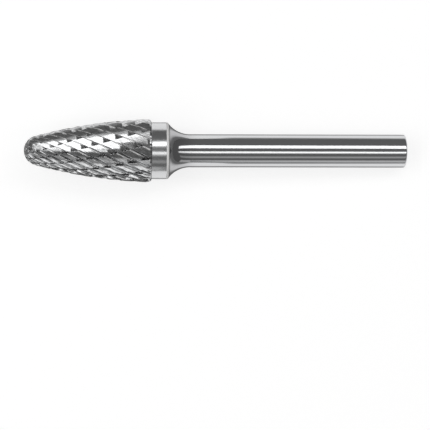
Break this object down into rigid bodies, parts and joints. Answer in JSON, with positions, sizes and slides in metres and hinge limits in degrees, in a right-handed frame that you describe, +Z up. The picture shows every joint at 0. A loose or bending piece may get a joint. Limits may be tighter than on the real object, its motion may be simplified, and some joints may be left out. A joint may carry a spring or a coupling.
{
  "type": "carbide burr",
  "caption": "Rotary burr with a double-cut, radius-end tree-shaped carbide head, a smooth collar and a straight round steel shank.",
  "frame": {"origin": "on the resting surface, under the middle of the burr's length", "axes": "+Z up from the resting surface, -X towards the cutting tip, +X towards the shank's end, with the burr's own axis in the XZ plane and leaning 3.3 degrees down towards +X"},
  "size_m": [0.0699, 0.0114, 0.0115],
  "materials": {
    "carbide": "bright ground tungsten carbide, sharp edges",
    "braze": "satin silver braze",
    "shank_steel": "polished hardened steel"
  },
  "bodies": {
    "root": {"carbide_head": "carbide", "braze_seam": "braze", "steel_shank": "shank_steel"}
  },
  "joints": []
}
